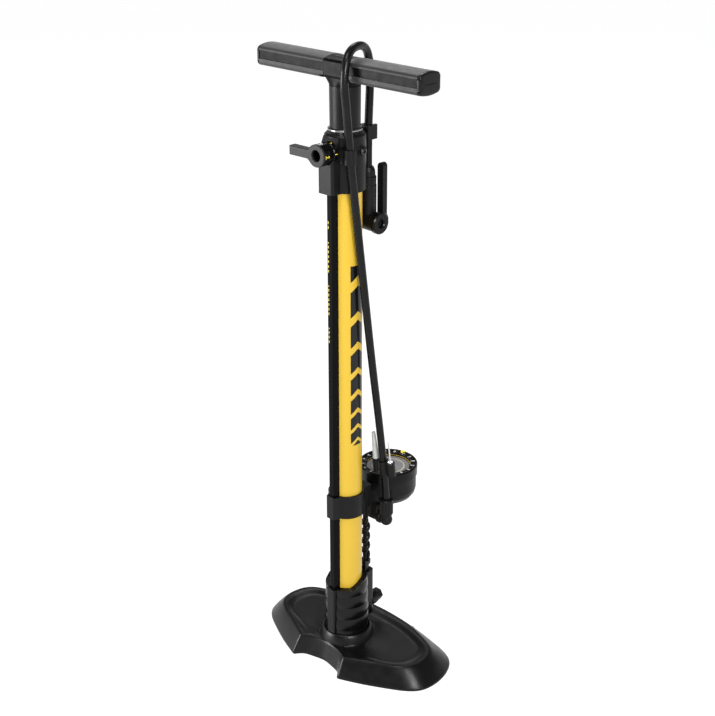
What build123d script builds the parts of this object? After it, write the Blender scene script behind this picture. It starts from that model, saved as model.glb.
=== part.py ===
from build123d import *
import os
from math import pi, tan, radians

# Two-mode floor bike pump, millimetres. The origin is on the floor under the barrel axis. +Z is up,
# +X runs along the handle, -Y is the front (foot notch, side rail, selector), +Y is the rear (gauge).

os.makedirs("parts", exist_ok=True)

# ------------------------------------------------------------------ driving dimensions
BARREL_R = 18.5
BARREL_BORE_R = 17.0
BARREL_LOW, BARREL_TOP = 34.0, 611.5
GAP = 0.1  # between two fixed pieces that meet on a curved face
RUNNING = 0.05  # radial clearance of a sliding or turning fit
FREE = 0.4  # clearance of a moving piece that touches nothing

DECK_Z = 24.0
RIM_Z = 1.0
BOSS_TOP = 35.6
BOOT_LOW, BOOT_FOOT_R = 10.0, 26.6
RIM_FRONT_Z, RIM_SIDE_Z = 96.0, 105.0

CAP_R, CAP_LOW, CAP_TOP = 22.5, 590.0, 653.0
BOX_FRONT_Y, BOX_HALF = -31.5, 11.0
SELECTOR_Z, SELECTOR_R = 634.5, 12.2
KNOB_BACK_Y, KNOB_FACE_Y = -36.0, -45.0

RAIL_FRONT_Y, RAIL_HALF, RAIL_FOOT_HALF = -25.2, 3.6, 5.8

ROD_R = 7.0
STROKE = 480.0
STEM_R, STEM_LOW, STEM_TOP = 16.6, 655.0, 703.0
HANDLE_HALF, HANDLE_DEPTH_HALF = 117.6, 16.2
HANDLE_LOW, HANDLE_TOP = 708.3, 732.8
BAND_LOW, BAND_TOP = 717.5, 726.5
HUB_HALF = 16.0

GAUGE_Y, DIAL_Z = 73.6, 226.0
BEZEL_R, BEZEL_LOW, BEZEL_TOP = 35.9, 218.0, 231.2
CUP_R, CUP_LOW = 34.4, 181.0
BAND_Z = (194.0, 222.5)

HOSE_R = 4.5
ELBOW_Z = 176.0
NUT_LOW, NUT_TOP = 184.0, 204.0
# The hose: out of the nut, up past the holder, through the hook, over the handle and down to the head.
HOSE = [
    (28.0, 40.0, NUT_TOP),
    (27.8, 36.4, 238.0),
    (27.2, 27.6, 305.0),
    (26.6, 14.4, 390.0),
    (25.9, 3.0, 474.0),
    (25.4, -8.4, 556.0),
    (24.0, -17.8, 633.0),
    (23.6, -22.6, 684.0),
    (23.2, -26.9, 718.0),
    (20.2, -15.6, 744.4),
    (11.0, 19.6, 744.4),
    (6.8, 32.2, 719.0),
    (4.8, 33.2, 690.0),
    (3.5, 32.3, 648.0),
    (3.5, 32.3, 609.0),
]
HOOK_POINT = 6  # the hose point inside the hook
TRANSFER_Y, TRANSFER_LOW, TRANSFER_TOP = 33.4, 88.5, 181.0

HEAD_X, HEAD_Y, MOUTH_Z = 3.5, 32.3, 548.0
LEVER_X, LEVER_Y = 11.0, (44.0, 51.5)
LEVER_TOP = 612.0
VALVE_R = 4.0  # a tyre valve's stem is 7.7 to 8 mm


def write(piece, name):
    piece.part.label = name
    export_step(piece.part, f"parts/{name}.step")


def disc(z, radius, bore=0.0, centre=(0.0, 0.0)):
    """A disc or ring as a sketch at height z."""
    with BuildSketch(Plane.XY.offset(z)) as sketch:
        with Locations(centre):
            Circle(radius)
            if bore:
                Circle(bore, mode=Mode.SUBTRACT)
    return sketch.sketch


def turned(points, x=0.0, y=0.0):
    """A solid turned about a vertical axis from its (radius, z) profile."""
    with BuildPart() as solid:
        with BuildSketch(Plane(origin=(x, y, 0), x_dir=(1, 0, 0), z_dir=(0, -1, 0))):
            with BuildLine():
                Polyline(*points, close=True)
            make_face()
        revolve(axis=Axis((x, y, 0), (0, 0, 1)))
    return solid.part


def along_y(x, z, start, points):
    """A solid turned about an axis along +Y through (x, z), from its (radius, distance) profile."""
    with BuildPart() as solid:
        with BuildSketch(Plane(origin=(x, start, z), x_dir=(1, 0, 0), z_dir=(0, 0, 1))):
            with BuildLine():
                Polyline(*points, close=True)
            make_face()
        revolve(axis=Axis((x, start, z), (0, 1, 0)))
    return solid.part


def along_x(y, z, start, points):
    """A solid turned about an axis along +X through (y, z), from its (distance, radius) profile."""
    with BuildPart() as solid:
        with BuildSketch(Plane(origin=(start, y, z), x_dir=(1, 0, 0), z_dir=(0, -1, 0))):
            with BuildLine():
                Polyline(*points, close=True)
            make_face()
        revolve(axis=Axis((start, y, z), (1, 0, 0)))
    return solid.part


def mirrored(half):
    """A closed outline's points from its right half, listed from the rear centre forwards."""
    left = [(-x, y) for x, y in reversed(half) if x]
    return left + half


# ------------------------------------------------------------------ base
# Right halves of the floor outline and of the deck's edge, from the rear centre to the front cusp.
FLOOR_EDGE = [
    (0, 84), (30, 83), (60, 80), (85, 75), (103, 69), (116, 60), (125, 45),
    (130, 28), (131, 10), (127, -6), (115, -19), (93, -32), (65, -46), (36.9, -57.5),
]
DECK_EDGE = [
    (0, 65), (23, 64), (46, 61), (68, 55), (86, 48), (98, 42), (106, 33),
    (110, 20), (110, 6), (104, -7), (90, -18), (72, -26), (54, -35), (35.5, -44.5),
]
NOTCH_FLOOR = [(0, -41), (17, -44), (29, -48), (36.9, -57.5)]
NOTCH_DECK = [(0, -33.6), (16, -35.8), (29.3, -40.3), (35.5, -44.5)]
WALL = 3.5


def base_outline(half, z, inset=1.0):
    """The base's outline at height z: one curve round the rear and a line between the cusps."""
    points = [(x * inset, y * inset) for x, y in mirrored(half)]
    with BuildSketch(Plane.XY.offset(z)) as sketch:
        with BuildLine():
            Spline(*points)
            Line(points[-1], points[0])
        make_face()
    return sketch.sketch


def notch_outline(half, z, grow=0.0):
    """The foot notch's outline at height z, run out past the front of the base."""
    far = -95.0
    wall = [(x + grow * (x > 0), y + grow) for x, y in half]
    corners = mirrored(wall)
    with BuildSketch(Plane.XY.offset(z)) as sketch:
        with BuildLine():
            Polyline(*corners, (corners[-1][0], far), (corners[0][0], far), close=True)
        make_face()
    return sketch.sketch


FOOT_PADS = [(98, 30), (-98, 30), (62, -16), (-62, -16), (50, 58), (-50, 58)]
FOOT_PAD_R, PAD_TOP = 7.0, 3.0
SOCKET_R = 32.0

with BuildPart() as notch_guard:
    loft([notch_outline(NOTCH_FLOOR, -2.0, WALL), notch_outline(NOTCH_DECK, DECK_Z + 2.0, WALL)])

# What is hollow under the base: a socket column, pad posts and ribs stand in it.
with BuildPart() as cavity:
    loft([base_outline(FLOOR_EDGE, 0.0, 0.955), base_outline(DECK_EDGE, DECK_Z - WALL, 0.955)])
    add(notch_guard.part, mode=Mode.SUBTRACT)
    Cylinder(SOCKET_R, 100, mode=Mode.SUBTRACT)
    with Locations(*[(x, y, 0) for x, y in FOOT_PADS]):
        Cylinder(FOOT_PAD_R + 1.5, 100, mode=Mode.SUBTRACT)
    for angle in (8, 38, 90, 142, 172):
        with Locations(Location((0, 0, 15), (0, 0, angle))):
            Box(300, 2.6, 22, align=(Align.MIN, Align.CENTER, Align.CENTER), mode=Mode.SUBTRACT)

with BuildPart() as base_plate:
    extrude(base_outline(FLOOR_EDGE, RIM_Z), amount=2.0)
    loft([base_outline(FLOOR_EDGE, RIM_Z + 2.0), base_outline(DECK_EDGE, DECK_Z)])
    loft([disc(DECK_Z, 33.4), disc(BOSS_TOP, 28.6)])
    loft(
        [notch_outline(NOTCH_FLOOR, RIM_Z - 1.0), notch_outline(NOTCH_DECK, DECK_Z + 1.0)],
        mode=Mode.SUBTRACT,
    )
    add(cavity.part, mode=Mode.SUBTRACT)
    extrude(disc(BOOT_LOW, BOOT_FOOT_R + 0.5), amount=40, mode=Mode.SUBTRACT)
    extrude(disc(0, SOCKET_R + 1), amount=4.0, mode=Mode.SUBTRACT)
    extrude(disc(0, 4.3), amount=20, mode=Mode.SUBTRACT)
    with Locations(*[(x, y, 0) for x, y in FOOT_PADS]):
        Cylinder(FOOT_PAD_R + GAP, 2 * PAD_TOP, mode=Mode.SUBTRACT)
write(base_plate, "base_plate")

with BuildPart() as foot_pads:
    with BuildSketch():
        with Locations(*FOOT_PADS):
            Circle(FOOT_PAD_R)
    extrude(amount=PAD_TOP)
    chamfer(foot_pads.edges().group_by(Axis.Z)[0], 0.6)
write(foot_pads, "foot_pads")

# A round cover under the socket hides the barrel's bolt and rests on the floor.
with BuildPart() as centre_pad:
    extrude(disc(0, 30.0), amount=4.0 - GAP)
    extrude(disc(1.8, 10.0), amount=5, mode=Mode.SUBTRACT)
    chamfer(centre_pad.edges().group_by(Axis.Z)[0], 0.8)
write(centre_pad, "centre_pad")

with BuildPart() as base_bolt:
    add(turned([(0, 2.0), (6.5, 2.0), (6.5, 3.9), (4.0, 3.9), (4.0, 24.0), (0, 24.0)]))
    with BuildSketch(Plane.XY.offset(2.0)):
        RegularPolygon(2.6, 6)
    extrude(amount=1.4, mode=Mode.SUBTRACT)
write(base_bolt, "base_bolt")

# ------------------------------------------------------------------ boot: the barrel's lower housing
RIB_PITCH = 15.7
RIB_DEPTH = 1.0
VALVE_Z = 52.0


def boot_profile():
    """Half the boot's section: a foot in the base's socket, then four shallow convex bands."""
    lows = [BOSS_TOP + 4.6 + n * RIB_PITCH for n in range(5)]
    radii = [BOOT_FOOT_R - 0.6 - 0.35 * n for n in range(5)]
    with BuildSketch(Plane.XZ) as sketch:
        with BuildLine():
            Polyline(
                (radii[0], lows[0]), (BOOT_FOOT_R, BOSS_TOP), (BOOT_FOOT_R, BOOT_LOW), (0, BOOT_LOW),
                (0, lows[4] + 12), (radii[4], lows[4] + 12), (radii[4], lows[4]),
            )
            for n in range(4):
                middle = ((radii[n] + radii[n + 1]) / 2 + RIB_DEPTH, (lows[n] + lows[n + 1]) / 2)
                ThreePointArc((radii[n], lows[n]), middle, (radii[n + 1], lows[n + 1]))
        make_face()
    return sketch.sketch


with BuildPart() as boot:
    revolve(boot_profile(), axis=Axis.Z)
    # the front rib that takes the side rail
    with BuildSketch(Plane.XY.offset(BOSS_TOP + 1.0)):
        with Locations((0, -24.0)):
            RectangleRounded(13.5, 9.6, 2.6)
    extrude(amount=RIM_FRONT_Z - BOSS_TOP)
    # the rear outlet block, with the check valve's seat and the transfer hose's socket
    with BuildSketch(Plane.XY.offset(BOSS_TOP + 1.0)):
        with Locations((0, 30.0)):
            RectangleRounded(17.0, 22.0, 5.0)
    extrude(amount=62.0)
    with BuildSketch(Plane(origin=(0, 38.0, VALVE_Z), x_dir=(1, 0, 0), z_dir=(0, 1, 0))):
        Circle(9.2)
    extrude(amount=8.0)
    # the rim rises from the front to the sides
    with BuildSketch(Plane.YZ):
        with BuildLine():
            Polyline(
                (-60, RIM_FRONT_Z), (-10, RIM_FRONT_Z + 1.5), (2, RIM_SIDE_Z), (60, RIM_SIDE_Z + 2.0),
                (60, 160), (-60, 160), close=True,
            )
        make_face()
    extrude(amount=60, both=True, mode=Mode.SUBTRACT)
    extrude(disc(BARREL_LOW, BARREL_R + GAP), amount=100, mode=Mode.SUBTRACT)
    # rail socket down the front rib
    with BuildSketch(Plane.XY.offset(BOSS_TOP + 8.0)):
        with Locations((0, -20.6)):
            Rectangle(2 * RAIL_FOOT_HALF + 0.4, 9.6)
    extrude(amount=80, mode=Mode.SUBTRACT)
    # valve bore, port from the barrel, and the socket above it for the transfer hose
    with BuildSketch(Plane(origin=(0, 22.0, VALVE_Z), x_dir=(1, 0, 0), z_dir=(0, 1, 0))):
        Circle(5.6)
    extrude(amount=40.0, mode=Mode.SUBTRACT)
    with BuildSketch(Plane(origin=(0, 10.0, VALVE_Z), x_dir=(1, 0, 0), z_dir=(0, 1, 0))):
        Circle(2.2)
    extrude(amount=14.0, mode=Mode.SUBTRACT)
    extrude(disc(VALVE_Z, 2.4, centre=(0, TRANSFER_Y)), amount=60, mode=Mode.SUBTRACT)
    extrude(disc(88.0, 4.6, centre=(0, TRANSFER_Y)), amount=60, mode=Mode.SUBTRACT)
    # bolt hole from below
    extrude(disc(0, 4.0 + GAP), amount=26, mode=Mode.SUBTRACT)
    fillet(boot.edges().filter_by(GeomType.CIRCLE).group_by(Axis.Z)[0].sort_by(SortBy.RADIUS)[-1], 1.2)
write(boot, "boot")

with BuildPart() as barrel:
    extrude(disc(BARREL_LOW, BARREL_R, BARREL_BORE_R), amount=BARREL_TOP - BARREL_LOW)
    with BuildSketch(Plane(origin=(0, 10.0, VALVE_Z), x_dir=(1, 0, 0), z_dir=(0, 1, 0))):
        Circle(2.2)
    extrude(amount=14.0, mode=Mode.SUBTRACT)
write(barrel, "barrel")

# The side rail is a hollow strip down the barrel's front that carries air to the selector.
RAIL_LOW, RAIL_TOP = BOSS_TOP + 8.5, 602.0
with BuildPart() as side_rail:
    with BuildSketch(Plane.XY.offset(RAIL_LOW)):
        with BuildLine():
            FilletPolyline(
                (-RAIL_FOOT_HALF, -15.0), (-RAIL_FOOT_HALF, -20.4), (-RAIL_HALF, RAIL_FRONT_Y),
                (RAIL_HALF, RAIL_FRONT_Y), (RAIL_FOOT_HALF, -20.4), (RAIL_FOOT_HALF, -15.0),
                radius=1.2,
            )
            Line((RAIL_FOOT_HALF, -15.0), (-RAIL_FOOT_HALF, -15.0))
        make_face()
        Circle(BARREL_R + GAP, mode=Mode.SUBTRACT)
        with Locations((0, -21.6)):
            Circle(1.6, mode=Mode.SUBTRACT)
    extrude(amount=RAIL_TOP - RAIL_LOW)
write(side_rail, "side_rail")

# Check valve: a ball on a seat at the port, held by a spring against the plug.
BALL_R, BALL_Y = 3.2, 26.4
with BuildPart() as check_seat:
    add(along_y(0, VALVE_Z, 22.1, [(2.2, 0), (5.5, 0), (5.5, 2.4), (3.6, 2.4), (2.2, 0.9)]))
write(check_seat, "check_seat")

with BuildPart() as check_ball:
    with Locations((0, BALL_Y + 0.9, VALVE_Z)):
        Sphere(BALL_R)
write(check_ball, "check_ball")

SPRING_START, SPRING_LENGTH, SPRING_WIRE = 31.0, 9.0, 0.35
with BuildPart() as check_spring:
    with BuildLine():
        coil = Helix(1.8, SPRING_LENGTH, 2.2, center=(0, SPRING_START, VALVE_Z), direction=(0, 1, 0))
    with BuildSketch(Plane(origin=coil @ 0, z_dir=coil % 0)):
        Circle(SPRING_WIRE)
    sweep(is_frenet=True)
write(check_spring, "check_spring")

with BuildPart() as check_plug:
    add(along_y(0, VALVE_Z, 46.2, [(0, 0), (8.6, 0), (8.6, 3.0), (7.0, 3.6), (7.0, 9.6), (0, 9.6)]))
    add(along_y(0, VALVE_Z, 40.6, [(0, 0), (5.5, 0), (5.5, 5.6), (0, 5.6)]))
    with BuildSketch(Plane(origin=(0, 49.0, VALVE_Z), x_dir=(1, 0, 0), z_dir=(0, 1, 0))):
        RegularPolygon(8.0, 6)
    extrude(amount=9.5)
    chamfer(check_plug.faces().sort_by(Axis.Y)[-1].edges(), 1.0)
write(check_plug, "check_plug")

# ------------------------------------------------------------------ transfer hose to the gauge
with BuildPart() as transfer_hose:
    extrude(disc(TRANSFER_LOW, 3.4, 1.8, (0, TRANSFER_Y)), amount=TRANSFER_TOP - TRANSFER_LOW)
write(transfer_hose, "transfer_hose")

with BuildPart() as hose_ferrule:
    add(turned([(3.5, 88.2), (4.5, 88.2), (4.5, 107.2), (6.4, 107.6), (6.4, 112.0), (3.5, 112.0)],
               0, TRANSFER_Y))
write(hose_ferrule, "hose_ferrule")

GUARD_PITCH, GUARD_R, GUARD_WIRE = 13.0, 4.9, 1.3
GUARD_LOW, GUARD_HEIGHT = 114.0, 58.5
with BuildPart() as spiral_guard:
    with BuildLine():
        guard = Helix(GUARD_PITCH, GUARD_HEIGHT, GUARD_R, center=(0, TRANSFER_Y, GUARD_LOW))
    with BuildSketch(Plane(origin=guard @ 0, z_dir=guard % 0)):
        Circle(GUARD_WIRE)
    sweep(is_frenet=True)
write(spiral_guard, "spiral_guard")

# ------------------------------------------------------------------ gauge
BAND_WALL = 3.0
with BuildPart() as gauge_band:
    with BuildSketch(Plane.XY.offset(BAND_Z[0])):
        Circle(BARREL_R + BAND_WALL)
        with BuildLine():
            FilletPolyline(
                (-9.0, -16.0), (-9.0, -20.0), (-6.0, -28.0), (6.0, -28.0), (9.0, -20.0), (9.0, -16.0),
                radius=2.2,
            )
            Line((9.0, -16.0), (-9.0, -16.0))
        make_face()
        with Locations((0, 24.0)):
            Rectangle(26.0, 12.0)
        Circle(BARREL_R + GAP, mode=Mode.SUBTRACT)
        with Locations((0, -20.6)):
            RectangleRounded(2 * RAIL_FOOT_HALF + 0.3, 10.0, 1.2, mode=Mode.SUBTRACT)
    extrude(amount=BAND_Z[1] - BAND_Z[0])
    fillet(gauge_band.edges().filter_by(Axis.Z).group_by(Axis.Y)[-1], 2.0)
write(gauge_band, "gauge_band")

CAVITY_LOW = 200.0


def upright_panel(y, z, width, height):
    """A rounded rectangle that faces +Y, centred at (0, y, z)."""
    with BuildSketch(Plane(origin=(0, y, z), x_dir=(1, 0, 0), z_dir=(0, 1, 0))) as sketch:
        RectangleRounded(width, height, 6.0)
    return sketch.sketch


with BuildPart() as gauge_cup:
    add(turned([(0, CUP_LOW), (9, CUP_LOW), (20, 183.4), (29, 189.0), (33, 194.5), (CUP_R, 200.0),
                (CUP_R, BEZEL_LOW - 0.4), (31.6, BEZEL_LOW - 0.4), (31.6, DIAL_Z - 1.0),
                (0, DIAL_Z - 1.0)], 0, GAUGE_Y))
    # the neck that joins the cup to the band, deeper towards the barrel
    loft([upright_panel(30.2, 197.0, 25.0, 33.0), upright_panel(62.0, 197.0, 30.0, 24.0)])
    # the hose branch
    add(along_x(40.0, ELBOW_Z, 0.0, [(0, 0), (0, 6.0), (17.0, 6.0), (17.0, 0)]))
    with BuildSketch(Plane.XY.offset(ELBOW_Z)):
        with Locations((0, 38.0)):
            RectangleRounded(16.0, 17.0, 5.0)
    extrude(amount=18.0)
    # a web joins the branch to the neck
    with BuildSketch(Plane.XY.offset(ELBOW_Z)):
        with Locations((8.5, 40.0)):
            RectangleRounded(17.0, 8.8, 2.0)
    extrude(amount=16.0)
    extrude(disc(CAVITY_LOW, 29.0, centre=(0, GAUGE_Y)), amount=60, mode=Mode.SUBTRACT)
    extrude(disc(160.0, 3.5, centre=(0, TRANSFER_Y)), amount=TRANSFER_TOP + 0.2 - 160.0, mode=Mode.SUBTRACT)
    Cylinder(BARREL_R + BAND_WALL + GAP, 600, mode=Mode.SUBTRACT)
write(gauge_cup, "gauge_cup")

with BuildPart() as hose_elbow:
    add(along_x(40.0, ELBOW_Z, 17.1, [(0, 0), (0, 7.4), (3.6, 7.4), (4.4, 6.6), (11.0, 6.6), (11.0, 0)]))
    with Locations((28.0, 40.0, ELBOW_Z)):
        Sphere(7.4)
    extrude(disc(ELBOW_Z, 6.6, centre=(28.0, 40.0)), amount=NUT_LOW - ELBOW_Z - GAP)
write(hose_elbow, "hose_elbow")

with BuildPart() as hose_nut:
    extrude(disc(NUT_LOW, 8.2, centre=(28.0, 40.0)), amount=NUT_TOP - NUT_LOW)
    chamfer(hose_nut.edges().group_by(Axis.Z)[-1], 1.0)
    extrude(disc(NUT_TOP - 1.0, HOSE_R + 0.5, centre=(28.0, 40.0)), amount=2.0, mode=Mode.SUBTRACT)
    fillet(hose_nut.edges().group_by(Axis.Z)[0], 1.5)
    with BuildSketch(Plane.XY.offset(NUT_LOW + 2.0)):
        with Locations((28.0, 40.0)):
            with PolarLocations(8.8, 12):
                Circle(1.0)
    extrude(amount=NUT_TOP - NUT_LOW - 5.0, mode=Mode.SUBTRACT)
write(hose_nut, "hose_nut")

# The dial: a flat centre plate and a black sloping ring that carries the scale.
PLATE_R, RING_STEP_R, RING_R, RING_TOP = 26.0, 27.7, 33.4, 230.0
LENS_THICK, LIP_THICK = 0.5, 0.4
with BuildPart() as dial_plate:
    extrude(disc(DIAL_Z - 0.9, PLATE_R - GAP, 1.6, (0, GAUGE_Y)), amount=0.9)
write(dial_plate, "dial_plate")

with BuildPart() as dial_ring:
    add(turned([(PLATE_R, DIAL_Z - 0.9), (RING_R, DIAL_Z - 0.9), (RING_R, RING_TOP),
                (RING_STEP_R, RING_TOP), (PLATE_R + 1, 227.4), (PLATE_R, 227.0)], 0, GAUGE_Y))
write(dial_ring, "dial_ring")

# The lens rests on the ring's rim, under the bezel's lip.
with BuildPart() as gauge_lens:
    extrude(disc(RING_TOP + GAP, RING_R - GAP, centre=(0, GAUGE_Y)), amount=LENS_THICK)
write(gauge_lens, "gauge_lens")

with BuildPart() as gauge_bezel:
    add(turned([(RING_R + FREE, BEZEL_LOW), (BEZEL_R, BEZEL_LOW), (BEZEL_R, BEZEL_TOP - 1.4),
                (BEZEL_R - 1.0, BEZEL_TOP), (RING_R + 0.6, BEZEL_TOP), (RING_R - 0.4, BEZEL_TOP - 0.2),
                (RING_R - 0.4, BEZEL_TOP - LIP_THICK), (RING_R + FREE, BEZEL_TOP - LIP_THICK)], 0, GAUGE_Y))
write(gauge_bezel, "gauge_bezel")

# The set marker is a pointed tab on the bezel's rim.
MARKER_TURN, MARKER_SIDE, MARKER_R = 98.0, 7.2, 32.4
with BuildPart() as set_marker:
    with BuildSketch(Plane(origin=(0, GAUGE_Y, BEZEL_TOP), x_dir=(1, 0, 0), z_dir=(0, 0, 1))):
        with Locations(Location((0, 0, 0), (0, 0, MARKER_TURN))):
            with Locations(Location((MARKER_R, 0, 0), (0, 0, 90))):
                Triangle(a=MARKER_SIDE, b=MARKER_SIDE, c=MARKER_SIDE)
    extrude(amount=0.8)
write(set_marker, "set_marker")

with BuildPart() as bourdon_tube:
    with BuildLine(Plane.XY.offset(212.0)):
        CenterArc((0, GAUGE_Y), 20.0, 100, 260)
    with BuildSketch(Plane(origin=(-3.473, GAUGE_Y + 19.696, 212.0), x_dir=(0, 0, 1), z_dir=(-1, 0, 0))):
        Ellipse(4.0, 1.6)
    sweep()
write(bourdon_tube, "bourdon_tube")

with BuildPart() as gauge_movement:
    extrude(disc(CAVITY_LOW + 0.1, 6.0, centre=(0, GAUGE_Y)), amount=20.0)
    extrude(disc(CAVITY_LOW + 20.1, 1.2, centre=(0, GAUGE_Y)), amount=7.0)
write(gauge_movement, "gauge_movement")

POINTER_Z = 227.6
with BuildPart() as gauge_pointer:
    with BuildSketch(Plane.XY.offset(POINTER_Z)):
        with Locations((0, GAUGE_Y)):
            Circle(3.2)
        with BuildLine():
            Polyline((-1.6, GAUGE_Y), (-0.4, GAUGE_Y - 22.0), (0.4, GAUGE_Y - 22.0), (1.6, GAUGE_Y),
                     (1.1, GAUGE_Y + 7.0), (-1.1, GAUGE_Y + 7.0), close=True)
        make_face()
    extrude(amount=0.6)
    extrude(disc(POINTER_Z - 1, 1.2 + RUNNING, centre=(0, GAUGE_Y)), amount=1.3, mode=Mode.SUBTRACT)
write(gauge_pointer, "gauge_pointer")

# ------------------------------------------------------------------ top cap
with BuildPart() as top_cap:
    add(turned([(0, CAP_LOW), (CAP_R - 0.8, CAP_LOW), (CAP_R, CAP_LOW + 0.8), (CAP_R, CAP_TOP - 2.4),
                (CAP_R - 2.4, CAP_TOP), (0, CAP_TOP)]))
    # the front box over the side rail, with its sloped shoulder behind the selector
    with BuildSketch(Plane.YZ):
        with BuildLine():
            Polyline((-10, CAP_LOW), (BOX_FRONT_Y, CAP_LOW), (BOX_FRONT_Y, 629.0), (-22.0, CAP_TOP - 2.0),
                     (-10, CAP_TOP - 2.0), close=True)
        make_face()
    extrude(amount=BOX_HALF, both=True)
    fillet(top_cap.edges().filter_by(Axis.Z).group_by(Axis.Y)[0], 3.0)
    # screw boss and hook boss
    with BuildSketch(Plane(origin=(15.0, 2.0, 635.0), x_dir=(0, 1, 0), z_dir=(1, 0, 0))):
        Circle(6.4)
    extrude(amount=8.4)
    # the selector housing's seat
    with BuildSketch(Plane(origin=(0, -60, SELECTOR_Z), x_dir=(1, 0, 0), z_dir=(0, 1, 0))):
        Circle(SELECTOR_R + GAP)
    extrude(amount=60 - 20.0, mode=Mode.SUBTRACT)
    # barrel socket, guide bush seat and rail socket
    extrude(disc(CAP_LOW - 1, BARREL_R + GAP), amount=BARREL_TOP + 0.5 - CAP_LOW + 1, mode=Mode.SUBTRACT)
    extrude(disc(CAP_LOW, 12.0), amount=58.0, mode=Mode.SUBTRACT)
    extrude(disc(CAP_LOW, 10.0), amount=80.0, mode=Mode.SUBTRACT)
    with BuildSketch(Plane.XY.offset(CAP_LOW - 1)):
        with Locations((0, -21.2)):
            Rectangle(2 * RAIL_FOOT_HALF + 0.3, 8.6)
    extrude(amount=RAIL_TOP + 1.2 - CAP_LOW, mode=Mode.SUBTRACT)
    with BuildSketch(Plane(origin=(17.0, 2.0, 635.0), x_dir=(0, 1, 0), z_dir=(1, 0, 0))):
        Circle(2.1)
    extrude(amount=8.0, mode=Mode.SUBTRACT)
write(top_cap, "top_cap")

with BuildPart() as guide_bush:
    add(turned([(ROD_R + RUNNING, 594.0), (11.9, 594.0), (11.9, 647.9), (9.9, 647.9), (9.9, 653.0),
                (ROD_R + RUNNING, 653.0)]))
write(guide_bush, "guide_bush")

with BuildPart() as cap_screw:
    add(along_x(2.0, 635.0, 17.2, [(0, 0), (0, 2.0), (6.4, 2.0), (6.4, 4.6), (8.4, 4.2), (9.4, 2.6),
                                   (9.6, 0)]))
    with BuildSketch(Plane(origin=(25.0, 2.0, 635.0), x_dir=(0, 1, 0), z_dir=(1, 0, 0))):
        Rectangle(4.6, 1.1)
        Rectangle(1.1, 4.6)
    extrude(amount=4.0, mode=Mode.SUBTRACT)
write(cap_screw, "cap_screw")

# ------------------------------------------------------------------ selector
with BuildPart() as selector_housing:
    add(along_y(0, SELECTOR_Z, -29.0, [(5.1, 0), (11.6, 0), (SELECTOR_R, 0.8), (SELECTOR_R, 8.9),
                                       (5.1, 8.9)]))
write(selector_housing, "selector_housing")

with BuildPart() as selector_body:
    add(along_y(0, SELECTOR_Z, KNOB_BACK_Y + 0.1, [(0, 0), (11.4, 0), (11.8, 0.5), (11.8, 6.5),
                                                   (5.0, 6.5), (5.0, 14.6), (0, 14.6)]))
write(selector_body, "selector_body")

LEVER_END_X = -39.5
with BuildPart() as selector_knob:
    with BuildSketch(Plane(origin=(0, KNOB_FACE_Y, SELECTOR_Z), x_dir=(1, 0, 0), z_dir=(0, -1, 0))):
        Circle(12.25)
        with BuildLine():
            Polyline(
                (-6.0, -9.6), (-13.0, -5.0), (LEVER_END_X, -5.0), (LEVER_END_X, 5.0), (-10.5, 5.0),
                (-6.0, 7.0), close=True,
            )
        make_face()
        Circle(6.2, mode=Mode.SUBTRACT)
    extrude(amount=-(KNOB_BACK_Y - KNOB_FACE_Y))
    chamfer(selector_knob.faces().sort_by(Axis.Y)[0].edges(), 0.5)
write(selector_knob, "selector_knob")

# ------------------------------------------------------------------ hose hook and rear clip
HOOK_X, HOOK_Y = HOSE[HOOK_POINT][0], HOSE[HOOK_POINT][1]
HOOK_LOW, HOOK_TOP = 625.0, 640.5
HOOK_BORE_R, HOOK_R = 5.6, 7.3
with BuildPart() as hose_hook:
    with BuildSketch(Plane.XY.offset(HOOK_LOW)):
        with Locations((HOOK_X, HOOK_Y)):
            Circle(HOOK_R)
            Circle(HOOK_BORE_R, mode=Mode.SUBTRACT)
        with BuildLine():
            Polyline(
                (HOOK_X, HOOK_Y), (HOOK_X + 12, HOOK_Y + 3.0), (HOOK_X + 12, HOOK_Y + 14),
                (HOOK_X + 1.0, HOOK_Y + 14), close=True,
            )
        make_face(mode=Mode.SUBTRACT)
        with Locations((15.0, HOOK_Y - 5.4)):
            Rectangle(7.6, 2.0)
        with Locations((HOOK_X, HOOK_Y)):
            Circle(HOOK_BORE_R, mode=Mode.SUBTRACT)
    extrude(amount=HOOK_TOP - HOOK_LOW)
    Cylinder(CAP_R + GAP, 1400, mode=Mode.SUBTRACT)
    with BuildSketch(Plane(origin=(0, -60, SELECTOR_Z), x_dir=(1, 0, 0), z_dir=(0, 1, 0))):
        Circle(SELECTOR_R + GAP)
    extrude(amount=60, mode=Mode.SUBTRACT)
write(hose_hook, "hose_hook")

CLIP_LOW, CLIP_TOP, CLIP_HALF = 640.0, 655.5, 7.6
with BuildPart() as rear_clip:
    with BuildSketch(Plane.XY.offset(CLIP_LOW)):
        with Locations((HEAD_X, HEAD_Y)):
            Rectangle(2 * CLIP_HALF, 2 * CLIP_HALF)
            Circle(HOSE_R + 0.5, mode=Mode.SUBTRACT)
        with Locations((HEAD_X, HEAD_Y + CLIP_HALF)):
            Rectangle(6.4, 2 * CLIP_HALF, mode=Mode.SUBTRACT)
    extrude(amount=CLIP_TOP - CLIP_LOW)
    chamfer(rear_clip.edges().filter_by(Axis.Z).group_by(Axis.X)[-1], 1.2)
    with BuildSketch(Plane.XY.offset(CLIP_LOW)):
        with Locations((HEAD_X, 22.6)):
            Rectangle(9.0, 5.0)
    extrude(amount=8.0)
    Cylinder(CAP_R + GAP, 1400, mode=Mode.SUBTRACT)
write(rear_clip, "rear_clip")

# ------------------------------------------------------------------ plunger
PISTON_LOW = 54.0
with BuildPart() as plunger_rod:
    extrude(disc(PISTON_LOW + 8, ROD_R, ROD_R - 1.4), amount=STEM_TOP - 3 - PISTON_LOW - 8)
write(plunger_rod, "plunger_rod")

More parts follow.
